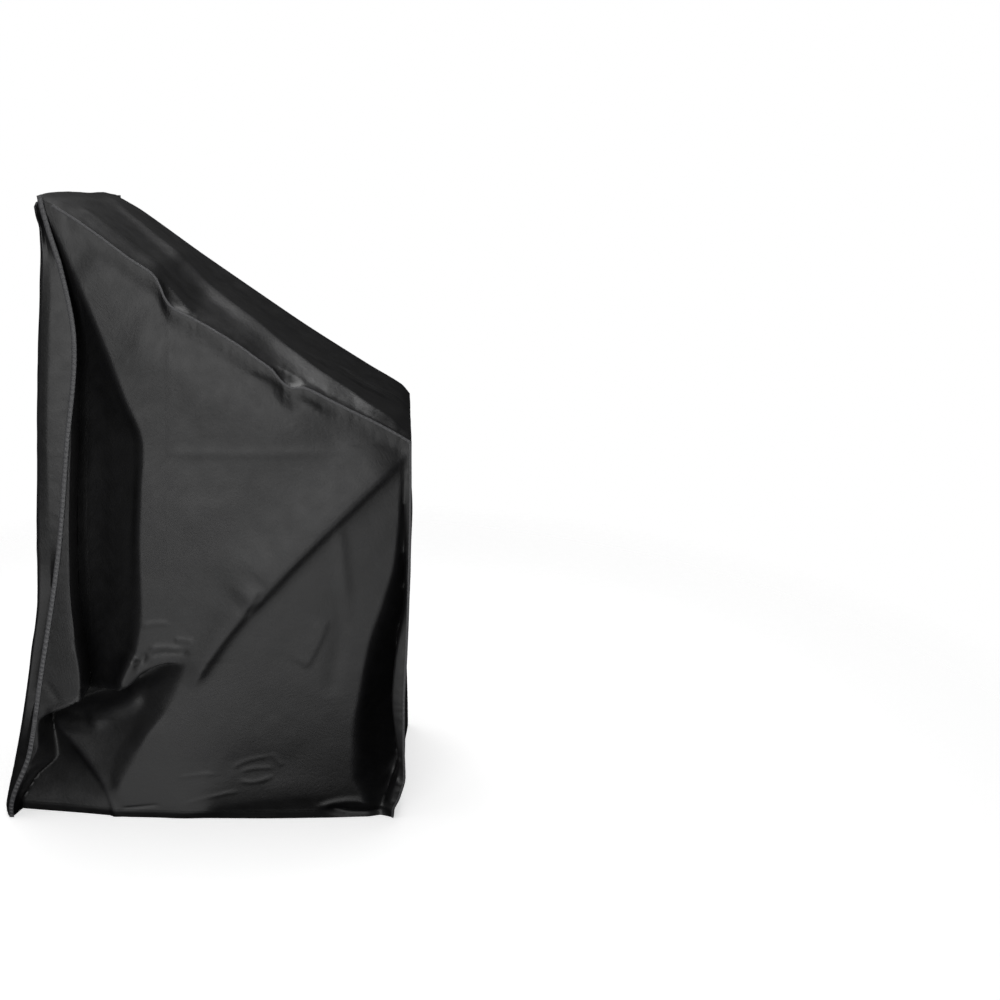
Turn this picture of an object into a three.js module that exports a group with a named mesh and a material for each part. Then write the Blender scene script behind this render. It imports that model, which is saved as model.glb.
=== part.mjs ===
import * as THREE from "three";

// Fitted dust cover for an upright exercise machine, open at the hem: two side panels, a front, a
// sloping roof and a back, with bound seams along both sides. Millimetres, +Z up, the hem on z = 0.
// The tall end is at -X, the near side at -Y.

// Driving dimensions: the four top corners, the cloth, its seams and its bindings
const cornerHeight = 1463;
const backHeight = 938;
const frontHalf = 275;
const backHalf = 240;
const frontTop = -292;
const backTop = 500;
const farFrontTop = -289;
const farBackTop = 474;
const hemFlare = 15;
const frontArch = 14; // rise of the middle of the top front edge
const clothThick = 2;
const seamGap = 1.6; // how far a panel stops short of a seam, more where two panels meet sharply
const cornerGap = 1.9;
const wedgeGap = 3.4;
const bindingWide = 12;
const bindingThick = 2.4;
const bindingOver = 1; // how far a binding reaches past the edge of its panel
const bindingLift = 0.6;
const earRise = 12; // the end of a front binding above the top corner

// Distances over which the folds of a side die out under the roof seam and beside its other seams
const calmUnderRoof = 60;
const calmBesideSeam = 20;

// Grid of each panel: cells along the strip beside the front seam, down the steep wall of the front
// fold and over the rest of a side, then up the side and across the narrow panels.
const stripCells = 2;
const wallCells = 3;
const bodyCells = 28; // up to the lip of the back fold, one more cell up to the back seam
const rowsLow = 16;
const rowsHigh = 20;
const lowShare = 0.34;
const acrossFront = 16;
const acrossRoof = 9;
const acrossBack = 10;
const farSkip = 2;

const black = 0x1b1b1d;
const bindingBlack = 0x2a2a2d;

// Lines of the near side, each a table of heights with the place along the cover (x) and how far the
// cloth is drawn in from the flat side there (in). A negative value stands out.
const nearLines = {
  seam: {
    z: [0, 160, 350, 677, 917, 1178, 1320, 1416, 1463],
    x: [-489, -433, -393, -321, -280, -245, -260, -283, -292],
    in: [0, 0, 0, 0, 0, 0, 0, 0, 0],
  },
  strip: {
    z: [0, 66, 121, 175, 237, 253, 267, 293, 374, 452, 553, 677, 798, 1032, 1189, 1320, 1463],
    x: [
      -478, -448, -421, -396, -407, -362, -334, -292, -292, -299, -303, -293, -280, -255, -241, -255,
      -289,
    ],
    in: [0, 0, 2, 4, 6, 4, 2, 0, 0, 0, 0, 0, 2, 3, 3, 3, 1],
  },
  foot: {
    z: [0, 66, 121, 175, 223, 260, 296, 374, 452, 553, 677, 798, 917, 1032, 1189, 1299, 1374, 1463],
    x: [
      -462, -430, -396, -372, -385, -315, -262, -273, -282, -286, -279, -268, -255, -244, -233, -242,
      -258, -287,
    ],
    in: [6, 18, 30, 42, 52, 70, 88, 90, 88, 95, 98, 100, 96, 92, 78, 55, 32, 3],
  },
  flank: {
    z: [0, 108, 203, 297, 350, 395, 430, 653, 929, 1044, 1216, 1352, 1463],
    x: [-390, -300, -215, -150, -120, -110, -190, -165, -142, -172, -220, -262, -285],
    in: [8, 24, 40, 46, 52, 46, 40, 42, 42, 44, 44, 26, 3],
  },
  ridge: {
    z: [0, 39, 108, 203, 297, 350, 392, 430, 529, 653, 799, 929, 1044, 1134, 1216, 1320, 1406, 1463],
    x: [
      -310, -267, -189, -110, -60, -45, -40, -160, -144, -132, -118, -109, -140, -165, -191, -232,
      -265, -282,
    ],
    in: [2, 0, 0, 0, 0, 0, -2, -6, -4, -2, 0, 0, 0, 0, 0, 0, 0, 0],
  },
  belly: {
    z: [0, 400, 938, 1200, 1463],
    x: [0, 150, 180, 0, -275],
    in: [-4, -6, -8, -4, 0],
  },
  shoulder: {
    z: [0, 37, 97, 192, 325, 454, 556, 655, 776, 930, 1463],
    x: [392, 380, 352, 353, 373, 398, 432, 455, 464, 470, 470],
    in: [4, 6, 8, 8, 6, 4, 3, 2, 2, 2, 2],
  },
  valley: {
    z: [0, 37, 111, 246, 403, 556, 704, 871, 938, 1463],
    x: [418, 412, 404, 404, 430, 456, 470, 480, 481, 481],
    in: [12, 26, 66, 84, 78, 56, 28, 8, 3, 3],
  },
  lip: {
    z: [0, 125, 179, 299, 403, 556, 752, 938, 1463],
    x: [446, 470, 464, 456, 464, 482, 488, 490, 490],
    in: [8, 8, 8, 8, 8, 7, 6, 2, 2],
  },
  back: {
    z: [0, 43, 98, 166, 273, 429, 581, 824, 938, 1463],
    x: [458, 474, 487, 485, 485, 491, 496, 500, 500, 500],
    in: [4, 4, 4, 4, 4, 4, 3, 2, 0, 0],
  },
};

// The same lines of the far side, which hangs in fewer and softer folds.
const farLines = {
  seam: {
    z: [0, 350, 677, 917, 1178, 1463],
    x: [-486, -415, -356, -322, -300, -289],
    in: [0, 0, 0, 0, 0, 0],
  },
  strip: {
    z: [0, 350, 677, 917, 1178, 1463],
    x: [-462, -388, -330, -298, -280, -283],
    in: [0, 0, 0, 0, 0, 0],
  },
  foot: {
    z: [0, 200, 420, 677, 917, 1178, 1463],
    x: [-390, -330, -300, -278, -262, -255, -278],
    in: [14, 30, 46, 58, 60, 44, 2],
  },
  flank: {
    z: [0, 300, 653, 929, 1216, 1463],
    x: [-320, -250, -205, -190, -222, -274],
    in: [10, 22, 30, 30, 22, 2],
  },
  ridge: {
    z: [0, 350, 653, 929, 1216, 1463],
    x: [-240, -175, -140, -130, -190, -270],
    in: [0, 0, 0, 0, 0, 0],
  },
  belly: {
    z: [0, 400, 938, 1200, 1463],
    x: [40, 120, 150, 0, -262],
    in: [-4, -6, -8, -4, 0],
  },
  shoulder: {
    z: [0, 200, 454, 655, 938, 1463],
    x: [330, 322, 352, 388, 440, 450],
    in: [4, 6, 4, 2, 2, 2],
  },
  valley: {
    z: [0, 111, 246, 403, 556, 704, 938, 1463],
    x: [382, 378, 384, 400, 418, 434, 458, 460],
    in: [22, 42, 52, 48, 36, 20, 2, 2],
  },
  lip: {
    z: [0, 299, 556, 938, 1463],
    x: [436, 438, 450, 466, 467],
    in: [6, 6, 5, 2, 2],
  },
  back: {
    z: [0, 250, 581, 938, 1463],
    x: [470, 466, 470, 474, 474],
    in: [2, 2, 2, 0, 0],
  },
};

// Folds laid over those lines. Each runs from one point over another to a third (x, z) and stands out
// by its height, or in where that is negative, fading over its left and its right width.
const nearFolds = [
  { name: "tension crease", x: [500, 324, 60], z: [928, 728, 440], height: 15, left: 26, right: 110 },
  { name: "its lower end", x: [160, 90, 0], z: [560, 480, 345], height: 9, left: 24, right: 60 },
  { name: "swell below the roof", x: [-150, 60, 330], z: [1215, 1085, 960], height: 12, left: 70, right: 40 },
  { name: "streak", x: [-300, -229, -140], z: [205, 238, 300], height: 14, left: 24, right: 24 },
  { name: "low crease", x: [-408, -340, -254], z: [224, 170, 50], height: -16, left: 26, right: 26 },
  { name: "lip of the ledge", x: [-190, -110, -25], z: [345, 392, 404], height: 12, left: 22, right: 26 },
  { name: "wave by the valley", x: [352, 330, 318], z: [560, 430, 300], height: 8, left: 30, right: 30 },
  { name: "low wave", x: [-60, 120, 330], z: [60, 96, 60], height: 6, left: 34, right: 34 },
];

const farFolds = [
  { name: "tension crease", x: [470, 250, 40], z: [928, 690, 470], height: 12, left: 60, right: 40 },
  { name: "middle wave", x: [60, 20, 30], z: [820, 480, 120], height: 10, left: 60, right: 60 },
  { name: "low wave", x: [-160, 60, 260], z: [180, 110, 160], height: 8, left: 50, right: 50 },
];

// Flat side half width by height: the hem stands a little wider than the roof.
const sideFlare = { z: [0, 150, 400, 900, 1463], out: [hemFlare, 9, 3, 0, 0] };

// Height of the roof seams along the cover, as the fall below the straight line from corner to corner.
const nearSag = {
  x: [-292, -185, -100, -72, -48, -9, 55, 148, 236, 270, 298, 344, 418, 500],
  fall: [0, 0, 0, -6, 30, 38, 42, 52, 50, 38, 24, 26, 14, 0],
};
const farSag = { x: [-289, -54, 154, 364, 474], fall: [0, 4, 2, -6, 0] };

// Across the roof, w runs from the near seam (0) to the far seam (1). The cloth is pulled into a
// ridge from the far front corner to the near back one, and lies lower on both sides of it.
const roofRidge = {
  x: [-292, -120, 0, 168, 330, 500],
  w: [1, 0.68, 0.52, 0.4, 0.24, 0],
  up: [0, 14, 20, 24, 20, 0],
  wide: 0.2,
};
const roofRoll = {
  x: [-292, -200, -60, 60],
  w: [0.1, 0.12, 0.16, 0.16],
  up: [4, 10, 6, 0],
  wide: 0.06,
};
const roofDip = {
  x: [150, 300, 420],
  w: [0.8, 0.74, 0.66],
  up: [0, -10, 0],
  wide: 0.12,
};

// Corner of the front panel beside the near seam: the crease in it and the outermost line.
const nearCrease = {
  z: [0, 161, 270, 348, 451, 553, 677, 917, 1180, 1320, 1400, 1463],
  x: [-495, -440, -412, -396, -384, -384, -358, -328, -296, -287, -290, -297],
  in: [1, 3, 9, 14, 14, 9, 0, -3, -3, -1, 0, 1],
};
const nearEdge = {
  z: [0, 52, 161, 242, 348, 451, 553, 750, 916, 1189, 1277, 1395, 1463],
  x: [-512, -504, -481, -464, -442, -419, -405, -391, -377, -349, -339, -316, -303],
  in: [22, 26, 34, 40, 46, 50, 52, 56, 58, 58, 50, 26, 10],
};
const farEdge = {
  z: [0, 350, 750, 1189, 1463],
  x: [-508, -452, -400, -350, -300],
  in: [24, 40, 48, 44, 10],
};
// How far the middle of the front lies behind its edges.
const frontHollow = { z: [0, 300, 700, 1100, 1463], in: [2, 14, 26, 22, -6] };

const frontFolds = [
  { name: "left wave", x: [-70, -90, -60], z: [1380, 800, 120], height: 9, left: 50, right: 50 },
  { name: "right wave", x: [110, 80, 120], z: [1300, 700, 100], height: 8, left: 60, right: 60 },
];
const backFolds = [
  { name: "left wave", x: [-110, -90, -120], z: [860, 480, 60], height: 10, left: 45, right: 45 },
  { name: "right wave", x: [90, 110, 80], z: [820, 430, 40], height: 9, left: 50, right: 50 },
];
const backBulge = { z: [0, 250, 600, 938], out: [4, 14, 17, 0] };

// A smooth curve through the points of a table: a cubic between neighbours, with the slope at a point
// taken from both sides and none at a peak or a trough, so that it never swings past the points.
function curveThrough(xs, ys) {
  const last = xs.length - 1;
  const secant = (i) => (ys[i + 1] - ys[i]) / (xs[i + 1] - xs[i]);
  const slopes = ys.map((_, i) => {
    if (i === 0 || i === last) return 0;
    const before = secant(i - 1);
    const after = secant(i);
    return before * after <= 0 ? 0 : (2 * before * after) / (before + after);
  });
  return (x) => {
    if (x <= xs[0]) return ys[0];
    if (x >= xs[last]) return ys[last];
    let i = 0;
    while (x > xs[i + 1]) i += 1;
    const span = xs[i + 1] - xs[i];
    const t = (x - xs[i]) / span;
    const rest = 1 - t;
    return (
      rest * rest * ((1 + 2 * t) * ys[i] + t * span * slopes[i]) +
      t * t * ((3 - 2 * t) * ys[i + 1] - rest * span * slopes[i + 1])
    );
  };
}

const mix = (a, b, t) => a + (b - a) * t;
const ease = (t) => {
  const c = Math.min(1, Math.max(0, t));
  return c * c * (3 - 2 * c);
};

// The lines of a side as functions of height.
function smoothLines(lines) {
  return Object.values(lines).map((line) => ({
    x: curveThrough(line.z, line.x),
    in: curveThrough(line.z, line.in),
  }));
}

// A fold as a function of place: its height where the point lies on its path, less to each side by a
// bell curve of the width there, and less towards both ends of the path.
function foldShape(fold) {
  const steps = 14;
  const fade = 0.2; // share of its length over which a fold dies out at each end
  const path = [];
  for (let i = 0; i <= steps; i += 1) {
    const t = i / steps;
    const weights = [(1 - t) * (1 - t), 2 * t * (1 - t), t * t];
    path.push([
      weights[0] * fold.x[0] + weights[1] * fold.x[1] + weights[2] * fold.x[2],
      weights[0] * fold.z[0] + weights[1] * fold.z[1] + weights[2] * fold.z[2],
    ]);
  }
  return (x, z) => {
    let best = Infinity;
    let side = 1;
    let along = 0;
    for (let i = 0; i < steps; i += 1) {
      const [x0, z0] = path[i];
      const dx = path[i + 1][0] - x0;
      const dz = path[i + 1][1] - z0;
      const t = Math.min(1, Math.max(0, ((x - x0) * dx + (z - z0) * dz) / (dx * dx + dz * dz)));
      const off = Math.hypot(x - x0 - t * dx, z - z0 - t * dz);
      if (off < best) {
        best = off;
        side = Math.sign(dx * (z - z0) - dz * (x - x0)) || 1;
        along = (i + t) / steps;
      }
    }
    const wide = side > 0 ? fold.left : fold.right;
    const ends = ease(along / fade) * ease((1 - along) / fade);
    return fold.height * ends * Math.exp(-((best / wide) ** 2));
  };
}

const foldSum = (folds) => {
  const shapes = folds.map(foldShape);
  return (x, z) => shapes.reduce((sum, shape) => sum + shape(x, z), 0);
};

const flareAt = curveThrough(sideFlare.z, sideFlare.out);

// Half the width of the cover where its side would lie flat.
const flatHalf = (x, z) =>
  mix(frontHalf, backHalf, (x - frontTop) / (backTop - frontTop)) + flareAt(z);

const slopeLine = (x, x0, z0, x1, z1) => mix(z0, z1, (x - x0) / (x1 - x0));
const nearFall = curveThrough(nearSag.x, nearSag.fall);
const farFall = curveThrough(farSag.x, farSag.fall);
const roofHeight = {
  near: (x) => slopeLine(x, frontTop, cornerHeight, backTop, backHeight) - nearFall(x),
  far: (x) => slopeLine(x, farFrontTop, cornerHeight, farBackTop, backHeight) - farFall(x),
};

// A side panel: point (column, height share) of the middle of its cloth. The first columns follow the
// seam, the strip and the foot of the front fold, and the others share the rest up to the back seam.
function sidePanel(lines, folds, roofLine, outward) {
  const keys = smoothLines(lines);
  const foldAt = foldSum(folds);
  const [seam, strip, foot] = keys;
  const [lip, back] = keys.slice(-2);
  const columnX = (column, z) => {
    if (column <= stripCells) return mix(seam.x(z), strip.x(z), column / stripCells);
    const wall = (column - stripCells) / wallCells;
    if (wall <= 1) return mix(strip.x(z), foot.x(z), wall);
    const body = (column - stripCells - wallCells) / bodyCells;
    if (body <= 1) return mix(foot.x(z), lip.x(z), body);
    return mix(lip.x(z), back.x(z), column - stripCells - wallCells - bodyCells);
  };
  const topHeight = (column) => {
    let low = 0;
    let high = cornerHeight;
    for (let i = 0; i < 40; i += 1) {
      const z = (low + high) / 2;
      if (roofLine(columnX(column, z)) > z) low = z;
      else high = z;
    }
    return (low + high) / 2;
  };
  const drawnIn = (x, z) => {
    const places = [];
    const depths = [];
    keys.forEach((key) => {
      const place = key.x(z);
      if (places.length && place <= places[places.length - 1] + 1) return;
      places.push(place);
      depths.push(key.in(z));
    });
    return curveThrough(places, depths)(x);
  };
  return (column, height) => {
    const z = height * topHeight(column);
    const x = columnX(column, z);
    const rest = ease((roofLine(x) - z) / calmUnderRoof);
    const beside = ease((x - seam.x(z)) / calmBesideSeam) * ease((back.x(z) - x) / calmBesideSeam);
    const y = flatHalf(x, z) - drawnIn(x, z) * rest + foldAt(x, z) * rest * beside;
    return new THREE.Vector3(x, outward * y, z);
  };
}

// Shares of the height of a side at which the rows lie, closer together in the lower part.
const rowShares = [];
for (let row = 0; row <= rowsLow + rowsHigh; row += 1)
  rowShares.push(row <= rowsLow ? (lowShare * row) / rowsLow : mix(lowShare, 1, (row - rowsLow) / rowsHigh));
const columns = stripCells + wallCells + bodyCells + 1;

const nearSide = sidePanel(nearLines, nearFolds, roofHeight.near, -1);
const farSide = sidePanel(farLines, farFolds, roofHeight.far, 1);

// The roof: across from the near seam to the far seam at the same column, with its ridge, roll and dip.
function roofPanel() {
  const swells = [roofRidge, roofRoll, roofDip].map((table) => ({
    w: curveThrough(table.x, table.w),
    up: curveThrough(table.x, table.up),
    wide: table.wide,
  }));
  const calmEdge = 0.05;
  const archReach = 130;
  const archForward = 0.6;
  return (column, across) => {
    const point = nearSide(column, 1).lerp(farSide(column, 1), across);
    const calm = ease(across / calmEdge) * ease((1 - across) / calmEdge);
    swells.forEach((swell) => {
      const off = (across - swell.w(point.x)) / swell.wide;
      point.z += calm * swell.up(point.x) * Math.exp(-off * off);
    });
    const atFront = ease((frontTop + archReach - point.x) / archReach);
    const arch = frontArch * Math.sin(Math.PI * across) * atFront;
    point.z += arch;
    point.x -= arch * archForward;
    return point;
  };
}
const roof = roofPanel();

// The front: across from the near seam over its crease and corner, the hollow middle and the far
// corner to the far seam, in the same rows as the sides.
function frontPanel() {
  const table = (t) => ({ x: curveThrough(t.z, t.x), in: curveThrough(t.z, t.in) });
  const lines = [nearLines.seam, nearCrease, nearEdge, farEdge, farLines.seam];
  const [seam, crease, edge, far, farSeam] = lines.map(table);
  const hollow = curveThrough(frontHollow.z, frontHollow.in);
  const foldAt = foldSum(frontFolds);
  const shares = [0, 0.1, 0.17, 0.23, 0.36, 0.52, 0.68, 0.8, 0.87, 0.92, 1];
  const mergeFrom = 0.94; // above this share of its height the front joins the roof's front edge
  return (across, height) => {
    const top = roof(0, across).z;
    const z = height * top;
    const half = flatHalf(frontTop, z);
    const nearIn = edge.in(z);
    const farIn = far.in(z);
    const middle = mix(edge.x(z), far.x(z), 0.5) + hollow(z);
    const xs = [
      seam.x(z),
      crease.x(z),
      edge.x(z) + 0.35 * nearIn,
      edge.x(z),
      mix(edge.x(z), middle, 0.5),
      middle,
      mix(far.x(z), middle, 0.5),
      far.x(z),
      far.x(z) + 0.3 * farIn,
      mix(far.x(z), farSeam.x(z), 0.55),
      farSeam.x(z),
    ];
    const ys = [
      -half,
      -half + crease.in(z),
      -half + 0.2 * nearIn,
      -half + nearIn,
      -0.4 * half,
      0,
      0.4 * half,
      half - farIn,
      half - 0.2 * farIn,
      half - 2,
      half,
    ];
    const x = curveThrough(shares, xs)(across);
    const y = curveThrough(shares, ys)(across);
    const inner = ease((across - 0.2) / 0.1) * ease((0.82 - across) / 0.1);
    const fold = inner * ease((top - z) / calmUnderRoof) * foldAt(y, z);
    const merge = ease((height - mergeFrom) / (1 - mergeFrom));
    const rim = roof(0, across);
    return new THREE.Vector3(mix(x - fold, rim.x, merge), mix(y, rim.y, merge), z);
  };
}
const front = frontPanel();

// The back: across from the near back seam to the far one.
function backPanel() {
  const bulge = curveThrough(backBulge.z, backBulge.out);
  const foldAt = foldSum(backFolds);
  return (across, height) => {
    const point = nearSide(columns, height).lerp(farSide(columns, height), across);
    const rim = roof(columns, across).z;
    point.z = height * rim;
    const calm = Math.sin(Math.PI * across) * ease((rim - point.z) / calmUnderRoof);
    point.x += calm * (bulge(point.z) + foldAt(point.y, point.z));
    return point;
  };
}
const back = backPanel();

// A grid of points, with its outer rows drawn back from the seams by the given gaps.
function clothGrid(pointAt, us, vs, gaps) {
  const grid = us.map((u) => vs.map((v) => pointAt(u, v)));
  const drawBack = (edge, next, by) => {
    const step = next.clone().sub(edge);
    edge.addScaledVector(step.normalize(), by);
  };
  const lastU = us.length - 1;
  const lastV = vs.length - 1;
  grid.forEach((column) => {
    if (gaps.v0) drawBack(column[0], column[1], gaps.v0);
    if (gaps.v1) drawBack(column[lastV], column[lastV - 1], gaps.v1);
  });
  grid[0].forEach((point, j) => gaps.u0 && drawBack(point, grid[1][j], gaps.u0));
  grid[lastU].forEach((point, j) => gaps.u1 && drawBack(point, grid[lastU - 1][j], gaps.u1));
  return grid;
}

// A closed sheet: the grid moved half the thickness to each side along its normals, and joined
// round the rim.
function sheetSolid(grid, thick) {
  const countU = grid.length;
  const countV = grid[0].length;
  const normalAt = (i, j) => {
    const alongU = grid[Math.min(i + 1, countU - 1)][j].clone().sub(grid[Math.max(i - 1, 0)][j]);
    const alongV = grid[i][Math.min(j + 1, countV - 1)].clone().sub(grid[i][Math.max(j - 1, 0)]);
    return alongU.cross(alongV).normalize();
  };
  const positions = [];
  [thick / 2, -thick / 2].forEach((shift) => {
    for (let i = 0; i < countU; i += 1)
      for (let j = 0; j < countV; j += 1) {
        const point = grid[i][j].clone().addScaledVector(normalAt(i, j), shift);
        positions.push(point.x, point.y, point.z);
      }
  });
  const other = countU * countV;
  const at = (i, j) => i * countV + j;
  const faces = [];
  for (let i = 0; i + 1 < countU; i += 1)
    for (let j = 0; j + 1 < countV; j += 1) {
      const quad = [at(i, j), at(i + 1, j), at(i + 1, j + 1), at(i, j + 1)];
      faces.push(quad[0], quad[1], quad[2], quad[0], quad[2], quad[3]);
      const under = quad.map((k) => k + other);
      faces.push(under[0], under[2], under[1], under[0], under[3], under[2]);
    }
  const rim = [];
  for (let i = 0; i + 1 < countU; i += 1) rim.push(at(i, 0));
  for (let j = 0; j + 1 < countV; j += 1) rim.push(at(countU - 1, j));
  for (let i = countU - 1; i > 0; i -= 1) rim.push(at(i, countV - 1));
  for (let j = countV - 1; j > 0; j -= 1) rim.push(at(0, j));
  rim.forEach((a, k) => {
    const b = rim[(k + 1) % rim.length];
    faces.push(a, a + other, b + other, a, b + other, b);
  });
  return closedGeometry(positions, faces);
}

// The geometry of a closed surface, turned to face outward.
function closedGeometry(positions, faces) {
  const at = (k) => new THREE.Vector3(positions[3 * k], positions[3 * k + 1], positions[3 * k + 2]);
  let volume = 0;
  for (let k = 0; k < faces.length; k += 3)
    volume += at(faces[k]).dot(at(faces[k + 1]).cross(at(faces[k + 2])));
  const index = volume > 0 ? faces : faces.slice().reverse();
  const geometry = new THREE.BufferGeometry();
  geometry.setAttribute("position", new THREE.Float32BufferAttribute(positions, 3));
  geometry.setIndex(index);
  geometry.computeVertexNormals();
  return geometry;
}

// A binding tape: a flat band with thin edges carried along the edge of a side panel and lying on its
// outer face. The edge and the next line of points inside it give its slope; a flat one keeps to the
// plane of the side.
function bindingSolid(edge, inner, outward, flat) {
  const half = bindingWide / 2;
  const deep = bindingThick / 2;
  const thinEdge = 1.5;
  const section = [
    [-half, 0],
    [-half + thinEdge, deep],
    [half - thinEdge, deep],
    [half, 0],
    [half - thinEdge, -deep],
    [-half + thinEdge, -deep],
  ];
  const lift = clothThick / 2 + bindingLift + deep;
  const positions = [];
  const faces = [];
  const sides = section.length;
  const last = edge.length - 1;
  edge.forEach((point, i) => {
    const along = edge[Math.min(i + 1, last)].clone().sub(edge[Math.max(i - 1, 0)]).normalize();
    const towards = inner[i].clone().sub(point);
    let out = new THREE.Vector3(0, outward, 0);
    if (!flat) {
      out = along.clone().cross(towards);
      if (out.y * outward < 0) out.negate();
    }
    out.addScaledVector(along, -out.dot(along)).normalize();
    const across = along.clone().cross(out).normalize();
    if (across.dot(towards) < 0) across.negate();
    section.forEach(([place, rise]) => {
      const corner = point.clone().addScaledVector(across, place + half - bindingOver);
      corner.addScaledVector(out, rise + lift);
      positions.push(corner.x, corner.y, Math.max(0, corner.z));
    });
  });
  for (let i = 0; i < last; i += 1)
    for (let k = 0; k < sides; k += 1) {
      const a = i * sides + k;
      const b = i * sides + ((k + 1) % sides);
      faces.push(a, b, b + sides, a, b + sides, a + sides);
    }
  const end = last * sides;
  for (let k = 1; k + 1 < sides; k += 1) {
    faces.push(0, k + 1, k);
    faces.push(end, end + k, end + k + 1);
  }
  return closedGeometry(positions, faces);
}

const cloth = () => new THREE.MeshStandardMaterial({ color: black, roughness: 0.5, metalness: 0 });
const binding = () => new THREE.MeshStandardMaterial({ color: bindingBlack, roughness: 0.42, metalness: 0 });

const group = new THREE.Group();
function addPiece(name, geometry, material) {
  const mesh = new THREE.Mesh(geometry, material);
  mesh.name = name;
  group.add(mesh);
}

const countTo = (n) => Array.from({ length: n + 1 }, (_, i) => i);
const sharesOf = (n) => countTo(n).map((i) => i / n);
const columnList = countTo(columns);
const firstCells = stripCells + wallCells;
const farColumns = columnList.filter(
  (i) => i <= firstCells || i === columns || (columns - 1 - i) % farSkip === 0,
);

function addPanel(name, pointAt, us, vs, gaps) {
  addPiece(name, sheetSolid(clothGrid(pointAt, us, vs, gaps), clothThick), cloth());
}

const sideGaps = { u0: seamGap, u1: cornerGap, v1: seamGap };
addPanel("side_near", nearSide, columnList, rowShares, sideGaps);
addPanel("side_far", farSide, farColumns, rowShares, sideGaps);
addPanel("front_panel", front, sharesOf(acrossFront), rowShares, {
  u0: seamGap,
  u1: seamGap,
  v1: wedgeGap,
});
addPanel("roof_panel", roof, columnList, sharesOf(acrossRoof), {
  u0: wedgeGap,
  u1: seamGap,
  v0: seamGap,
  v1: seamGap,
});
addPanel("back_panel", back, sharesOf(acrossBack), rowShares, {
  u0: cornerGap,
  u1: cornerGap,
  v1: seamGap,
});

// The bindings: one up each front seam, its end standing proud of the top corner, and one along each
// roof seam and down the back seam to the hem.
const roofBindingStart = 0.6; // share of a column's width behind the top corner
const earLean = 0.3;
function addBindings(name, side, outward, sideColumns) {
  const frontEdge = rowShares.map((v) => side(0, v));
  const frontInner = rowShares.map((v) => side(stripCells, v));
  const tip = frontEdge[frontEdge.length - 1];
  tip.x -= bindingWide - bindingOver;
  frontEdge.push(tip.clone().add(new THREE.Vector3(-earRise * earLean, 0, earRise)));
  frontInner.push(frontInner[frontInner.length - 1]);
  addPiece(`front_binding_${name}`, bindingSolid(frontEdge, frontInner, outward, true), binding());
  const roofColumns = sideColumns.filter((u) => u > firstCells);
  roofColumns.unshift(firstCells + roofBindingStart);
  const lastInner = sideColumns[sideColumns.length - 2];
  const lastRow = rowShares.length - 1;
  const down = rowShares.slice(0, -1).reverse();
  const edge = [...roofColumns.map((u) => side(u, 1)), ...down.map((v) => side(columns, v))];
  const inner = [
    ...roofColumns.map((u) => side(u, rowShares[lastRow - 1])),
    ...down.map((v) => side(lastInner, v)),
  ];
  inner[roofColumns.length - 1].x -= bindingWide * 2;
  addPiece(`roof_back_binding_${name}`, bindingSolid(edge, inner, outward, false), binding());
}
addBindings("near", nearSide, -1, columnList);
addBindings("far", farSide, 1, farColumns);

export default group;
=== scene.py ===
import math
import bpy
import numpy as np
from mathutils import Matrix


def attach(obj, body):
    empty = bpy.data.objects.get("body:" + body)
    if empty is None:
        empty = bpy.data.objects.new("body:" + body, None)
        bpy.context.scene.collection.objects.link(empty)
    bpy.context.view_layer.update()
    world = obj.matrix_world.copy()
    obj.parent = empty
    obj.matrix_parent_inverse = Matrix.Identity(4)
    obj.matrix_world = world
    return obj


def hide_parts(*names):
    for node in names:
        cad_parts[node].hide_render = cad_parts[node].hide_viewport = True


# Fitted dust cover for an upright exercise bike: two sides, a front, a sloping roof and a back,
# sewn of black nylon oxford with bound side seams. Tables are in millimetres, meshes in metres.
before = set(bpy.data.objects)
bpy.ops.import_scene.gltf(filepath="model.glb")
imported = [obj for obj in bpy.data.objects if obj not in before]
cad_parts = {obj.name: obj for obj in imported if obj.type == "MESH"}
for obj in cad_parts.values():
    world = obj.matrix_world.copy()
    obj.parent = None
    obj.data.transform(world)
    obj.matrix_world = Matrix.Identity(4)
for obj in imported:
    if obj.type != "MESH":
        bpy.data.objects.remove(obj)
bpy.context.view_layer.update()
mm = 0.001


# Curves and folds

def spread(table, dims):
    # a table of numbers laid along a new first axis, in front of as many axes as the points have
    table = np.asarray(table, float)
    return table.reshape((-1,) + (1,) * dims) if table.ndim == 1 else table


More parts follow.
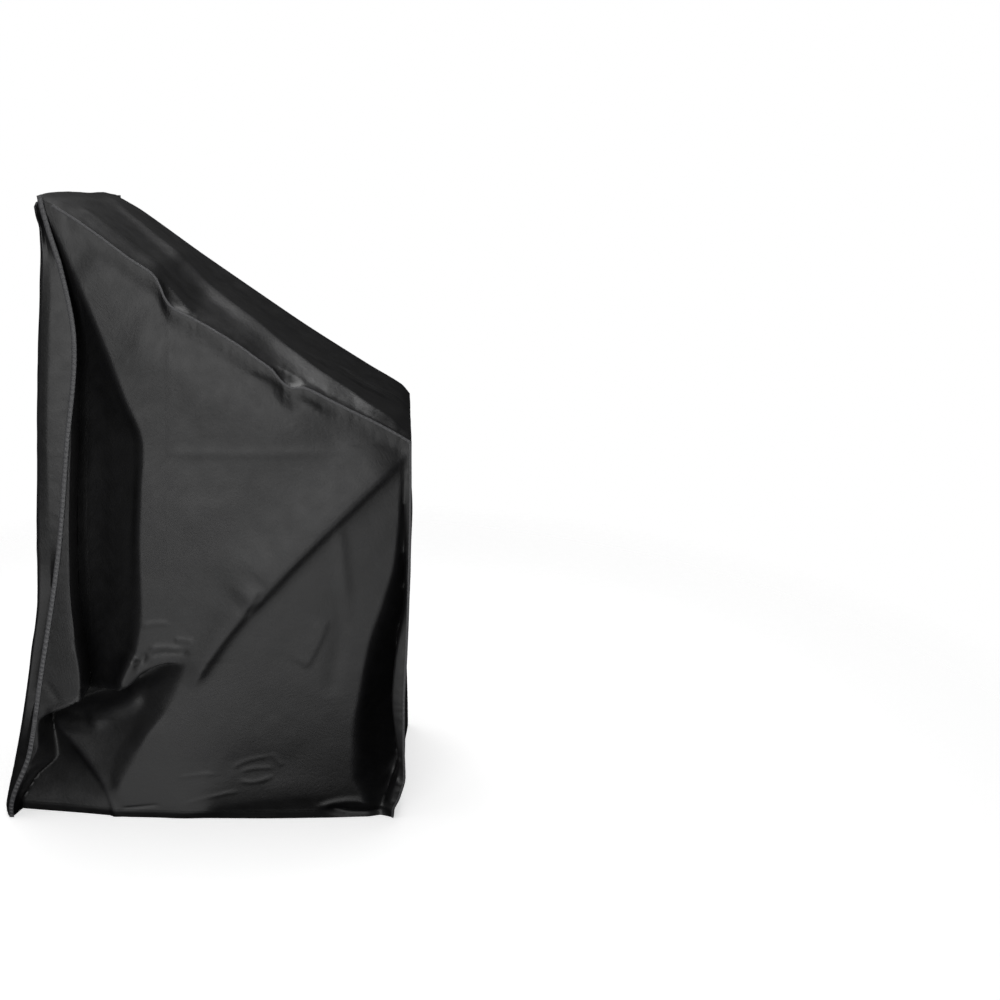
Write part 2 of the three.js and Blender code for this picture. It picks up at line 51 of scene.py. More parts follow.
def cubicThrough(knots, values, at, sharp=None):
    # Hermite cubic between neighbouring knots; the slope at a knot is the harmonic mean of the slopes
    # on both sides, and none at a peak, a trough or an end. At a sharp knot each side keeps its own
    # straight slope instead, by its share from 0 to 1. Knots and values may differ per point.
    at = np.asarray(at, float)
    shape = (len(knots),) + at.shape
    knots = np.broadcast_to(spread(knots, at.ndim), shape)
    values = np.broadcast_to(spread(values, at.ndim), shape)
    at = np.clip(at, knots[0], knots[-1])
    secant = np.diff(values, axis=0) / np.diff(knots, axis=0)
    product = secant[:-1] * secant[1:]
    total = np.where(product > 0, secant[:-1] + secant[1:], 1)
    slope = np.zeros(shape)
    slope[1:-1] = np.where(product > 0, 2 * product / total, 0)
    leaving, arriving = slope[:-1], slope[1:]
    if sharp is not None:
        sharp = np.broadcast_to(spread(sharp, at.ndim), shape)
        leaving, arriving = mix(leaving, secant, sharp[:-1]), mix(arriving, secant, sharp[1:])
    cell = np.clip((at >= knots).sum(axis=0) - 1, 0, len(knots) - 2)[None]
    x0, x1, y0, y1, s0, s1 = (
        np.take_along_axis(a, cell + k, axis=0)[0]
        for a, k in ((knots, 0), (knots, 1), (values, 0), (values, 1), (leaving, 0), (arriving, 0)))
    span = x1 - x0
    t = (at - x0) / span
    rest = 1 - t
    return (rest * rest * ((1 + 2 * t) * y0 + t * span * s0)
            + t * t * ((3 - 2 * t) * y1 - rest * span * s1))


def readOff(table, key, at, over="z"):
    # a row of a table read off between its knots, by the cubic above
    return cubicThrough(table[over], table[key], at)


def mix(a, b, t):
    return a + (b - a) * t


def ease(t):
    # 3t^2 - 2t^3, from 0 to 1
    t = np.clip(t, 0, 1)
    return t * t * (3 - 2 * t)


def softNoise(x, y, size, seed):
    # random values on a lattice of that size, blended by an eased bilinear mix; from -1 to 1
    lattice = np.random.default_rng(seed).uniform(-1, 1, (64, 64))
    x, y = np.broadcast_arrays(np.asarray(x, float) / size, np.asarray(y, float) / size)
    i, j = np.floor(x).astype(int), np.floor(y).astype(int)
    u, v = ease(x - i), ease(y - j)
    at = lambda a, b: lattice[(i + a) % 64, (j + b) % 64]
    return mix(mix(at(0, 0), at(1, 0), u), mix(at(0, 1), at(1, 1), u), v)


def foldSum(folds, x, z):
    # each fold follows a quadratic curve through its three (x, z) points and stands out by
    # height * exp(-(distance / width)^power), less towards both ends of the curve
    total = np.zeros(np.broadcast(x, z).shape)
    steps, fade = 16, 0.2
    t = np.linspace(0, 1, steps + 1)
    weights = np.stack([(1 - t) ** 2, 2 * t * (1 - t), t * t])
    for name, xs, zs, height, left, right, power in folds:
        px, pz = np.array(xs) @ weights, np.array(zs) @ weights
        best = np.full(total.shape, np.inf)
        side, along = np.ones(total.shape), np.zeros(total.shape)
        for i in range(steps):
            dx, dz = px[i + 1] - px[i], pz[i + 1] - pz[i]
            ox, oz = x - px[i], z - pz[i]
            share = np.clip((ox * dx + oz * dz) / (dx * dx + dz * dz), 0, 1)
            off = np.hypot(ox - share * dx, oz - share * dz)
            near = off < best
            best = np.where(near, off, best)
            side = np.where(near, np.sign(dx * oz - dz * ox), side)
            along = np.where(near, (i + share) / steps, along)
        wide = np.where(side > 0, left, right)
        ends = ease(along / fade) * ease((1 - along) / fade)
        total += height * ends * np.exp(-(best / wide) ** power)
    return total


# The cut of the cover, in mm

cut = {
    "cornerHeight": 1463, "backHeight": 938, "frontHalf": 275, "backHalf": 240,
    "frontTop": -292, "backTop": 500, "farFrontTop": -289, "farBackTop": 482,
    "calmUnderRoof": 60, "calmBesideSeam": 20, "thick": 1.8,
    # the front fold leans under its strip by this share of its depth, in front of x = leanFrom
    "lean": 0.17, "leanFrom": -40, "leanOver": 80,
    # the back valley runs in under its lip by this share of its depth, behind x = tuckFrom
    "tuckedUnder": 0.22, "tuckFrom": 380, "tuckOver": 60,
    "below": 12,  # how far the hem hangs below the zero of the tables
}

# Lines up the near side: heights (z), the place along the cover there (x) and how far the cloth is
# drawn in from the flat side (drawn); a negative value stands out. Many places of the near side, of
# the roof's ridge and of its near seam were worked out from the photo by a separate program.
nearLines = {
    "seam": {
        "z": [0, 160, 350, 677, 917, 1178, 1320, 1416, 1480],
        "x": [-489, -433, -393, -324, -288, -252, -269, -292, -303], "drawn": [0] * 9},
    "strip": {
        "z": [0, 237, 293, 374, 452, 553, 677, 798, 1032, 1189, 1320, 1480],
        "x": [-300, -295, -292, -292, -298, -300, -295, -286, -262, -248, -265, -300],
        "drawn": [0, 2, -4, -6, -5, -3, 0, 2, 3, 3, 3, 1]},
    "foot": {
        "z": [0, 260, 296, 374, 452, 553, 677, 798, 917, 1032, 1189, 1299, 1374, 1480],
        "x": [-284, -284, -284, -286, -292, -294, -289, -280, -268, -256, -242, -255, -273, -299],
        "drawn": [92, 96, 98, 98, 94, 88, 84, 85, 88, 70, 38, 19, 9, 1]},
    "slack": {
        "z": [0, 374, 506, 620, 740, 850, 973, 1090, 1189, 1320, 1480],
        "x": [-262, -246, -236, -232, -222, -208, -202, -216, -226, -255, -297],
        "drawn": [64, 64, 62, 62, 62, 60, 55, 40, 25, 11, 1]},
    "flank": {
        "z": [0, 250, 349, 430, 653, 929, 1044, 1216, 1352, 1480],
        "x": [-240, -240, -210, -180, -158, -134, -168, -218, -260, -296],
        "drawn": [30, 30, 28, 24, 20, 20, 19, 13, 6, 1]},
    "ridge": {
        "z": [0, 250, 349, 427, 529, 653, 799, 929, 1044, 1134, 1216, 1320, 1406, 1480],
        "x": [-225, -215, -190, -153, -134, -132, -122, -109, -145, -172, -199, -236, -268, -292],
        "drawn": [0, 0, 0, -2, -2, -2, 0, 0, 0, 0, 0, 0, 0, 0]},
    "belly": {
        "z": [0, 400, 938, 1200, 1463], "x": [0, 150, 180, 0, -275], "drawn": [-4, -6, -8, -4, 0]},
    "shoulder": {
        "z": [0, 37, 97, 192, 325, 454, 556, 655, 776, 930, 1463],
        "x": [392, 380, 352, 353, 373, 398, 432, 461, 472, 476, 476],
        "drawn": [4, 6, 4, 2, 1, 0, 0, 1, 2, 2, 2]},
    "valley": {
        "z": [0, 37, 111, 246, 403, 556, 704, 871, 938, 1463],
        "x": [424, 430, 444, 434, 443, 470, 478, 482, 482, 481],
        "drawn": [14, 44, 104, 108, 88, 54, 18, 4, 2, 2]},
    "lip": {
        "z": [0, 125, 179, 299, 403, 556, 752, 938, 1463],
        "x": [446, 470, 464, 452, 461, 486, 489, 490, 490], "drawn": [8, 14, 14, 14, 12, 9, 6, 2, 2]},
    "back": {
        "z": [0, 43, 98, 166, 273, 429, 581, 824, 938, 1463],
        "x": [458, 474, 487, 485, 485, 491, 496, 500, 500, 500],
        "drawn": [4, 4, 4, 4, 4, 4, 3, 2, 0, 0]},
}
# Under the ledge where the slack cloth has slumped, these lines hold instead; the ledge runs at
# height z over the place x.
slumpLines = {
    "strip": {
        "z": [0, 66, 121, 175, 224, 420], "x": [-484, -459, -436, -408, -404, -360],
        "drawn": [0, 0, 1, 2, 3, 3]},
    "fork": {
        "z": [0, 66, 121, 175, 224, 300, 420], "x": [-466, -428, -374, -380, -385, -350, -310],
        "drawn": [40, 64, 74, 80, 98, 104, 96]},
    "facet": {
        "z": [0, 66, 121, 160, 186, 224, 300, 420],
        "x": [-240, -264, -304, -336, -366, -380, -345, -305],
        "drawn": [8, 20, 41, 56, 72, 97, 104, 96]},
    "crease": {
        "z": [0, 56, 74, 110, 150, 182, 200, 225, 300, 420],
        "x": [-230, -246, -256, -280, -318, -352, -366, -376, -335, -300],
        "drawn": [1, 9, 14, 28, 46, 64, 80, 98, 104, 96]},
    "flank": {
        "z": [0, 60, 100, 149, 203, 297, 395], "x": [-215, -236, -236, -222, -184, -150, -110],
        "drawn": [1, 7, 13, 19, 27, 34, 34]},
    "slope end": {
        "z": [0, 63, 133, 203, 273, 330, 360, 402, 1463],
        "x": [-190, -208, -172, -136, -80, -50, -40, -32, -25],
        "drawn": [0, -2, -3, -3, -2, -2, -2, -2, -2]},
}
ledge = {
    "x": [-409, -373, -336, -296, -240, -188, -132, -78, -28, 60],
    "z": [241, 258, 274, 293, 302, 320, 370, 392, 398, 402], "wide": 12,
}
# Where the columns of the near grid run beside its front fold
nearGuides = {
    "strip": {
        "z": [0, 66, 121, 175, 240, 300, 340, 452, 553, 677, 798, 1032, 1189, 1320, 1480],
        "x": [-486, -461, -438, -412, -382, -334, -307, -299, -301, -296, -287, -263, -249, -266, -301]},
    "foot": {
        "z": [0, 66, 121, 175, 240, 300, 340, 452, 553, 677, 798, 917, 1032, 1189, 1299, 1374, 1480],
        "x": [-470, -446, -416, -386, -350, -300, -276, -279, -281, -279, -272, -261, -249, -237, -250,
              -268, -299]},
}

# The same lines of the far side, which hangs in fewer and softer folds.
farLines = {
    "seam": {
        "z": [0, 350, 677, 917, 1178, 1463], "x": [-486, -415, -356, -322, -300, -289],
        "drawn": [0] * 6},
    "strip": {
        "z": [0, 350, 677, 917, 1178, 1463], "x": [-462, -388, -330, -298, -280, -283],
        "drawn": [0] * 6},
    "foot": {
        "z": [0, 200, 420, 677, 917, 1178, 1463], "x": [-390, -330, -300, -278, -262, -255, -278],
        "drawn": [14, 30, 46, 58, 60, 44, 2]},
    "flank": {
        "z": [0, 300, 653, 929, 1216, 1463], "x": [-320, -250, -205, -190, -222, -274],
        "drawn": [10, 22, 30, 30, 22, 2]},
    "ridge": {
        "z": [0, 350, 653, 929, 1216, 1463], "x": [-240, -175, -140, -130, -190, -270],
        "drawn": [0] * 6},
    "belly": {
        "z": [0, 400, 938, 1200, 1463], "x": [40, 120, 150, 0, -262], "drawn": [-4, -6, -8, -4, 0]},
    "shoulder": {
        "z": [0, 200, 454, 655, 938, 1463], "x": [330, 322, 352, 388, 440, 450],
        "drawn": [4, 6, 4, 2, 2, 2]},
    "valley": {
        "z": [0, 111, 246, 403, 556, 704, 938, 1463], "x": [382, 378, 384, 400, 418, 434, 458, 460],
        "drawn": [22, 42, 52, 48, 36, 20, 2, 2]},
    "lip": {
        "z": [0, 299, 556, 938, 1463], "x": [436, 438, 450, 466, 467], "drawn": [6, 6, 5, 2, 2]},
    "back": {
        "z": [0, 250, 581, 938, 1463], "x": [470, 466, 470, 474, 474], "drawn": [2, 2, 2, 0, 0]},
}

# Folds: name, path x, path z, height, width to the left and to the right of the path, power
nearFolds = [
    ("tension crease", [512, 290, 110], [928, 728, 522], 15, 16, 90, 1.7),
    ("its lower end", [168, 68, -32], [592, 490, 325], 13, 15, 55, 1.7),
    ("its branch", [160, 135, 110], [580, 556, 516], -3, 5, 5, 2),
    ("swell below the roof", [-150, 50, 330], [1190, 1050, 930], 6, 62, 80, 2),
    ("gather under the roof", [-230, -130, -20], [1350, 1285, 1215], 4, 60, 110, 2),
    ("line to the corner", [-112, 200, 495], [914, 902, 932], 1.0, 12, 12, 2),
    ("line along the roof", [130, 216, 330], [1098, 1064, 988], 2.5, 6, 12, 2),
    ("streak", [-300, -229, -140], [205, 238, 300], 8, 20, 18, 2),
    ("groove", [-405, -322, -244], [222, 160, 56], 3, 30, 5, 2),
    ("shade under the ledge", [-400, -290, -70], [222, 262, 380], -12, 9, 22, 2),
    ("flap crease", [-380, -361, -345], [352, 323, 288], -2.5, 4, 4, 2),
    ("flap edge", [-380, -336, -284], [262, 286, 300], 5, 9, 9, 2),
    ("wrinkle", [-138, -107, -68], [488, 502, 496], 2.0, 5, 5, 2),
    ("wrinkle", [-62, -39, -14], [455, 458, 454], 2.2, 4, 4, 2),
    ("wrinkle", [-124, -95, -36], [427, 444, 426], 3.2, 7, 5, 2),
    ("under it", [-120, -90, -18], [413, 430, 422], -3.5, 6, 6, 2),
    ("dent", [-130, -140, -160], [424, 399, 374], -3.5, 8, 8, 2),
    ("patch by the ledge", [-198, -184, -158], [326, 374, 416], 10, 18, 24, 2),
    ("wave by the valley", [352, 330, 300], [600, 430, 300], -2.5, 22, 22, 2),
    ("soft crease", [306, 276, 244], [510, 431, 380], 3, 8, 40, 2),
    ("wave", [330, 345, 350], [760, 620, 480], 2.5, 16, 16, 2),
    ("turned at the hem", [-130, 60, 400], [-30, 66, 52], 3.5, 70, 26, 2),
    ("low wrinkle", [66, 100, 165], [122, 150, 154], 1.0, 5, 5, 2),
    ("low wrinkle", [84, 120, 170], [112, 128, 122], 0.9, 5, 5, 2),
    ("low wrinkle", [80, 115, 172], [92, 76, 106], 1.1, 6, 5, 2),
    ("low wrinkle", [160, 178, 190], [166, 140, 128], 1.1, 5, 5, 2),
    ("low wrinkle", [-75, -16, 30], [96, 107, 107], 0.9, 5, 5, 2),
    ("hem wrinkle", [-216, -163, -110], [10, 18, 24], -2.2, 5, 5, 2),
    ("hem wrinkle", [-60, 10, 90], [24, 52, 64], 1.0, 5, 5, 2),
    ("fold at the hem", [262, 347, 420], [10, 52, 18], 4, 9, 10, 2),
    ("its shade", [292, 347, 452], [18, -10, 4], -9, 10, 9, 2),
    ("crumple", [446, 464, 430], [184, 127, 66], 10, 8, 8, 2),
    ("crumple", [470, 452, 462], [150, 110, 70], 8, 7, 7, 2),
]
farFolds = [
    ("tension crease", [470, 250, 40], [928, 690, 470], 12, 60, 40, 2),
    ("middle wave", [60, 20, 30], [820, 480, 120], 10, 60, 60, 2),
    ("low wave", [-160, 60, 260], [180, 110, 160], 8, 50, 50, 2),
]
frontFolds = [
    ("left wave", [-70, -90, -60], [1380, 800, 120], 9, 50, 50, 2),
    ("right wave", [110, 80, 120], [1300, 700, 100], 8, 60, 60, 2),
]
backFolds = [
    ("left wave", [-110, -90, -120], [860, 480, 60], 10, 45, 45, 2),
    ("right wave", [90, 110, 80], [820, 430, 40], 9, 50, 50, 2),
]

sideFlare = {"z": [0, 150, 400, 900, 1463], "out": [15, 9, 3, 0, 0]}
nearSag = {
    "x": [-292, -265, -218, -181, -150, -106, -73, -58, -51, -45, -37, -20, 25, 77, 122, 155, 188, 205,
          218, 230, 248, 264, 313, 362, 429, 500],
    "fall": [-5, -10, -11, -9, -6, -2, -3, 2, 10, 24, 38, 45, 39, 35, 34, 37, 39, 49,
             54, 53, 42, 32, 24, 17, 6, 0],
}
nearSagInside = {
    "x": [-292, -265, -218, -181, -150, -106, -73, -37, 25, 77, 122, 188, 264, 313, 362, 429, 500],
    "fall": [-5, -10, -11, -9, -6, -2, -3, 14, 38, 35, 34, 38, 32, 24, 17, 6, 0],
}
farSag = {"x": [-289, -220, -54, 154, 364, 452, 482], "fall": [0, -6, -2, -3, -14, -22, -10]}
# The lines along the roof: place along the cover (x), share of the way across to the far seam (w) and
# rise (up). It is pulled into a ridge from the far front corner to the near back one.
roofLines = {
    "roll": {
        "x": [-292, -180, -60, 60, 180, 300, 420, 500],
        "w": [0.1, 0.12, 0.12, 0.1, 0.06, 0.04, 0.025, 0.02], "up": [2, 9, 5, 4, 4, 4, 3, 1]},
    "hollow": {
        "x": [-292, -203, -153, -77, -22, 66, 112, 174, 234, 299, 358, 405, 450, 500],
        "w": [0.6, 0.54, 0.48, 0.39, 0.34, 0.25, 0.2, 0.15, 0.11, 0.07, 0.06, 0.04, 0.035, 0.03],
        "up": [-3, 2, 4, 6, 9, 11, 13, 13, 14, 13, 11, 9, 7, 3]},
    "ridge": {
        "x": [-292, -203, -153, -77, -22, 66, 112, 174, 234, 299, 358, 405, 450, 500],
        "w": [0.84, 0.65, 0.6, 0.52, 0.47, 0.38, 0.33, 0.27, 0.21, 0.15, 0.12, 0.08, 0.065, 0.06],
        "up": [2, 12, 16, 20, 23, 27, 30, 33, 34, 31, 28, 22, 19, 9]},
    "far hollow": {
        "x": [-292, -60, 60, 180, 300, 420, 500], "w": [0.95, 0.86, 0.82, 0.8, 0.76, 0.7, 0.66],
        "up": [0, -3, -6, -8, -8, -8, -4]},
}
# folds of the roof, as of the sides, over x and the distance from the near seam
roofFolds = [
    ("far fold", [230, 330, 455], [190, 200, 300], 6, 24, 14, 2),
    ("far fold", [300, 400, 470], [320, 300, 350], 6, 24, 12, 2),
    ("front fold", [-250, -170, -40], [80, 96, 60], 5, 18, 26, 2),
]
nearCrease = {
    "z": [0, 161, 270, 348, 451, 553, 677, 917, 1180, 1320, 1400, 1440, 1480],
    "x": [-497, -445, -416, -396, -368, -350, -340, -326, -300, -288, -297, -306, -306],
    "drawn": [1, 3, 9, 14, 14, 9, 0, -3, -3, 0, 6, 7, 3],
}
nearEdge = {
    "z": [0, 52, 107, 215, 322, 426, 477, 553, 677, 798, 916, 1055, 1145, 1233, 1320, 1363, 1406,
          1437, 1458, 1480],
    "x": [-506, -495, -479, -453, -429, -408, -397, -383, -374, -364, -354, -341, -333, -323, -313, -308,
          -307, -314, -316, -310],
    "drawn": [22, 26, 28, 30, 32, 32, 32, 30, 30, 30, 30, 30, 30, 30, 28, 26, 24, 24, 20, 10],
    "tuck": [10, 10, 10, 9, 6, 4, 3, 2, 1, 1, 1, 1, 1, 1, 1, 1, 1, 1, 1, 1],
}
farEdge = {
    "z": [0, 350, 750, 1189, 1463], "x": [-508, -452, -400, -350, -300], "drawn": [24, 40, 48, 44, 10],
}
frontHollow = {"z": [0, 300, 700, 1100, 1463], "drawn": [2, 14, 26, 22, -6]}
backBulge = {"z": [0, 250, 600, 938], "out": [-4, -6, -6, 0]}


def roofHeight(side, x):
    # straight line between the two top corners of a side, less the fall of its seam
    if side == "near":
        x0, x1, sag = cut["frontTop"], cut["backTop"], nearSag
    else:
        x0, x1, sag = cut["farFrontTop"], cut["farBackTop"], farSag
    line = mix(cut["cornerHeight"], cut["backHeight"], (x - x0) / (x1 - x0))
    return line - readOff(sag, "fall", x, "x")


def flatHalf(x, z):
    # half width of a flat side: wider in front than behind, and flared at the hem
    share = (x - cut["frontTop"]) / (cut["backTop"] - cut["frontTop"])
    flare = readOff(sideFlare, "out", z)
    return mix(cut["frontHalf"], cut["backHalf"], share) + flare


# Grids of points

grids = {
    "stripCells": 10, "wallCells": 14, "bodyCells": 176, "lipCells": 6,
    "hemRows": [0, 5, 10, 15, 18, 20, 21.5, 23, 25, 28], "rows": 222, "crowding": 1.3,
    "frontCells": 110, "roofCells": 90, "backCells": 100,
    "farShare": 0.72, "farRows": 170, "backRows": 180,
    "searchAbove": 20.0, "halvings": 40,  # the search for the top of a column
}


lastColumn = 4.0


def rowHeights(top, rows):
    # the rows of the turned hem at fixed heights, then the rest up to the top, closer together below
    low = np.array(grids["hemRows"], float) - cut["below"]
    share = np.linspace(0, 1, rows - len(low) + 1)[1:] ** grids["crowding"]
    top = np.asarray(top, float)[:, None]
    return np.concatenate([np.broadcast_to(low, (len(top), len(low))),
                           low[-1] + (top - low[-1]) * share], axis=1)


def sideColumns(share=1.0):
    # columns 0-1 the strip beside the front seam, 1-2 the wall of the fold, 2-3 the body, 3-4 the lip
    cells = [max(2, round(grids[k] * share))
             for k in ("stripCells", "wallCells", "bodyCells", "lipCells")]
    return np.concatenate([k + np.arange(n) / n for k, n in enumerate(cells)] + [[lastColumn]])


def columnX(lines, column, z):
    # place along the cover of a column at a height: each stretch is shared between its two lines
    guides = {**lines, **(nearGuides if lines is nearLines else {})}
    at = [readOff(guides[k], "x", z) for k in ("seam", "strip", "foot", "lip", "back")]
    stretch = np.clip(np.floor(column), 0, 3)
    t = column - stretch
    return sum(np.where(stretch == k, mix(at[k], at[k + 1], t), 0) for k in range(4))


def topHeight(side, lines, column):
    # halving the range in which the column meets the roof seam
    low = np.zeros(len(column))
    high = np.full(len(column), cut["cornerHeight"] + grids["searchAbove"])
    for _ in range(grids["halvings"]):
        z = (low + high) / 2
        below = roofHeight(side, columnX(lines, column, z)) > z
        low, high = np.where(below, z, low), np.where(below, high, z)
    return (low + high) / 2


# how sharply the cloth bends at a line, from 0 to 1
creased = {
    "strip": 0.5, "foot": 0.9, "fork": 0.95, "facet": 0.6, "crease": 0.6, "ridge": 0.4,
    "valley": 0.9, "lip": 0.5,
}
crossing = {"takesOver": 4, "behind": 1}


def drawnIn(lines, x, z):
    # cubic across the lines at each height; a line that would cross the one before it is moved just
    # behind it and takes over its depth
    places, depths = [], []
    for line in lines.values():
        place, depth = readOff(line, "x", z), readOff(line, "drawn", z)
        if places:
            gap = place - places[-1]
            depth = mix(depths[-1], depth, ease(gap / crossing["takesOver"]))
            place = np.maximum(place, places[-1] + crossing["behind"])
        places.append(place)
        depths.append(depth)
    sharp = [creased.get(name, 0) for name in lines]
    return cubicThrough(np.stack(places), np.stack(depths), x, sharp)


def sideSurface(side, lines, folds, column, rows):
    # y = flat half width - depth of the drawn-in lines + folds; all calm down towards the roof seam.
    # x is moved forward by a share of the depth where the cloth leans under what is beside it.
    outward = -1 if side == "near" else 1
    z = rowHeights(topHeight(side, lines, column), rows)
    x = columnX(lines, column[:, None], z)
    toRoof = roofHeight(side, x) - z
    toFront = x - readOff(lines["seam"], "x", z)
    toBack = readOff(lines["back"], "x", z) - x
    rest = ease(toRoof / cut["calmUnderRoof"])
    beside = ease(toFront / cut["calmBesideSeam"]) * ease(toBack / cut["calmBesideSeam"])
    drawn = drawnIn(lines, x, z)
    if side == "near":  # the slumped part, below the ledge
        above = ease((z - readOff(ledge, "z", x, "x")) / ledge["wide"] + 0.5)
        slumped = {"seam": lines["seam"], **slumpLines}
        left = (*slumped, "foot", "slack", "ridge")
        slumped.update((name, line) for name, line in lines.items() if name not in left)
        drawn = mix(drawnIn(slumped, x, z), drawn, above)
    y = flatHalf(x, z) - drawn * rest + foldSum(folds, x, z) * rest * beside
    leaning = cut["lean"] * drawn * rest * ease((cut["leanFrom"] - x) / cut["leanOver"])
    if side == "near":  # the back valley runs in under its lip
        tucked = cut["tuckedUnder"] * drawn * rest * ease((x - cut["tuckFrom"]) / cut["tuckOver"])
        leaning = leaning - tucked
    return np.stack([x - leaning, outward * y, z], axis=-1), toFront, toRoof, toBack


def normalsOf(points):
    # cross product of the differences along both directions of the grid
    normal = np.cross(np.gradient(points, axis=0), np.gradient(points, axis=1))
    return normal / np.maximum(np.linalg.norm(normal, axis=-1, keepdims=True), 1e-12)


def facing(points, outward):
    # the grid run so that its normals point outward
    return points if (normalsOf(points) @ np.array(outward, float)).mean() > 0 else points[::-1]


def placed(points):
    # from the heights of the tables to metres above the floor, and nothing under the floor
    raised = points + (0, 0, cut["below"])
    raised[..., 2] = np.maximum(raised[..., 2], 0)
    return raised * mm


def sheetMesh(name, points, thick, uv, rub=None):
    # closed sheet: the grid moved half its thickness to both sides, joined round the rim
    n, m = points.shape[:2]
    normal = normalsOf(points)
    half = np.broadcast_to(np.asarray(thick, float) / 2, (n, m))[..., None]
    verts = np.concatenate([(points + normal * half).reshape(-1, 3),
                            (points - normal * half).reshape(-1, 3)])
    verts = placed(verts)
    at = np.arange(n * m).reshape(n, m)
    quads = np.stack([at[:-1, :-1], at[1:, :-1], at[1:, 1:], at[:-1, 1:]], axis=-1).reshape(-1, 4)
    rim = np.concatenate([at[:-1, 0], at[-1, :-1], at[:0:-1, -1], at[0, :0:-1]])
    after = np.roll(rim, -1)
    under = n * m
    edge = np.stack([rim, rim + under, after + under, after], axis=-1)
    faces = np.concatenate([quads, quads[:, ::-1] + under, edge])
    uvs = np.concatenate([uv.reshape(-1, 2)] * 2)
    values = None if rub is None else np.concatenate([rub.reshape(-1)] * 2)
    return meshObject(name, verts, faces, uvs, values)


def meshObject(name, verts, faces, uvs, rub=None, sharp=70):
    # one object of quads with its UV map in metres of cloth and the rub attribute of its worn places
    mesh = bpy.data.meshes.new(name)
    mesh.vertices.add(len(verts))
    mesh.vertices.foreach_set("co", np.asarray(verts, np.float32).ravel())
    mesh.loops.add(faces.size)
    mesh.loops.foreach_set("vertex_index", faces.ravel().astype(np.int32))
    mesh.polygons.add(len(faces))
    size = faces.shape[1]
    mesh.polygons.foreach_set("loop_start", np.arange(len(faces), dtype=np.int32) * size)
    mesh.polygons.foreach_set("use_smooth", np.ones(len(faces), bool))
    mesh.update(calc_edges=True)
    layer = mesh.uv_layers.new(name="cloth")
    layer.data.foreach_set("uv", (uvs[faces.ravel()] * mm).astype(np.float32).ravel())
    attribute = mesh.attributes.new("rub", "FLOAT", "POINT")
    values = np.zeros(len(verts)) if rub is None else rub
    attribute.data.foreach_set("value", values.astype(np.float32))
    mesh.set_sharp_from_angle(angle=math.radians(sharp))
    mesh.validate()
    piece = bpy.data.objects.new(name, mesh)
    bpy.context.scene.collection.objects.link(piece)
    return piece


def runLength(points, axis):
    # distance run along one direction of a grid
    step = np.linalg.norm(np.diff(points, axis=axis), axis=-1)
    start = np.zeros_like(np.take(step, [0], axis=axis))
    return np.concatenate([start, np.cumsum(step, axis=axis)], axis=axis)


wear = {"reach": 3, "full": 2.5}


def rubOf(points):
    # wear on the crests: height above the mean of four points some cells away, over the height at
    # which the wear is full
    reach = wear["reach"]
    padded = np.pad(points, ((reach, reach), (reach, reach), (0, 0)), mode="edge")
    n, m = points.shape[:2]
    around = sum(padded[reach + i * reach:reach + i * reach + n, reach + j * reach:reach + j * reach + m]
                 for i, j in ((-1, 0), (1, 0), (0, -1), (0, 1))) / 4
    out = ((points - around) * normalsOf(points)).sum(axis=-1)
    out[:reach], out[-reach:], out[:, :reach], out[:, -reach:] = 0, 0, 0, 0
    return np.clip(out / wear["full"], -1, 1)


# Fine relief of the cloth

# the turned hem, how far its doubled cloth stands proud, and the groove of its stitching
hem = {"high": 22, "rise": 0.35, "past": 2, "fade": 2.5}
groove = {"deep": 0.3, "below": 2.5, "wide": 1.2}
gather = {"size": 19, "high": 0.6, "reach": 11, "across": 0.25}
slope = 1.2  # length of the roof seam over its run along x
swell = {"sizes": [150, 70, 34], "heights": [1.3, 0.7, 0.3]}
calmOver = {"seam": 30, "rim": 40, "roofShare": 0.06}
seeds = {"near": 11, "far": 31, "roof": 51, "roofPucker": 18, "front": 71, "back": 91, "tape": 3}


def hemRelief(z):
    # the doubled cloth of the turned hem, eased off above, less the groove of its stitching:
    # deep * exp(-(distance / width)^2)
    up = z + cut["below"]
    step = hem["rise"] * ease((hem["high"] + hem["past"] - up) / hem["fade"])
    off = (up - hem["high"] + groove["below"]) / groove["wide"]
    return step - groove["deep"] * np.exp(-off ** 2)


def pucker(along, off, seed):
    # waves across a seam: noise * s * exp(1 - s), where s is the distance off the seam over the reach
    share = np.maximum(off, 0) / gather["reach"]
    wave = softNoise(along, off * gather["across"], gather["size"] / 2, seed)
    return gather["high"] * wave * share * np.exp(1 - share)


def waves(u, v, seed, calm=1.0):
    # sum of three sizes of soft noise, each times its height
    return calm * sum(high * softNoise(u, v, size, seed + k) for k, (size, high)
                      in enumerate(zip(swell["sizes"], swell["heights"])))


# The five panels

print("cloth: panels")
panels = {}


def sideGrid(side, lines, folds, share, rows, seed):
    # a side moved along its normals by waves, hem and puckers, with the waves calm at its edges
    column = sideColumns(share)
    points, toFront, toRoof, toBack = sideSurface(side, lines, folds, column, rows)
    x, z = points[..., 0], points[..., 2]
    calm = ease(toFront / calmOver["seam"]) * ease(toRoof / calmOver["rim"])
    calm = calm * ease(toBack / calmOver["seam"])
    high = waves(x, z, seed, calm) + hemRelief(z)
    high = high + pucker(z, toFront, seed + 5) + pucker(z, toBack, seed + 6)
    high = high + pucker(x * slope, toRoof, seed + 7)
    points = facing(points, (0, -1 if side == "near" else 1, 0))
    if points[0, 0, 0] > points[-1, 0, 0]:
        high = high[::-1]
    points = points + normalsOf(points) * high[..., None]
    return points


near = sideGrid("near", nearLines, nearFolds, 1.0, grids["rows"], seeds["near"])
far = sideGrid("far", farLines, farFolds, grids["farShare"], grids["farRows"], seeds["far"])

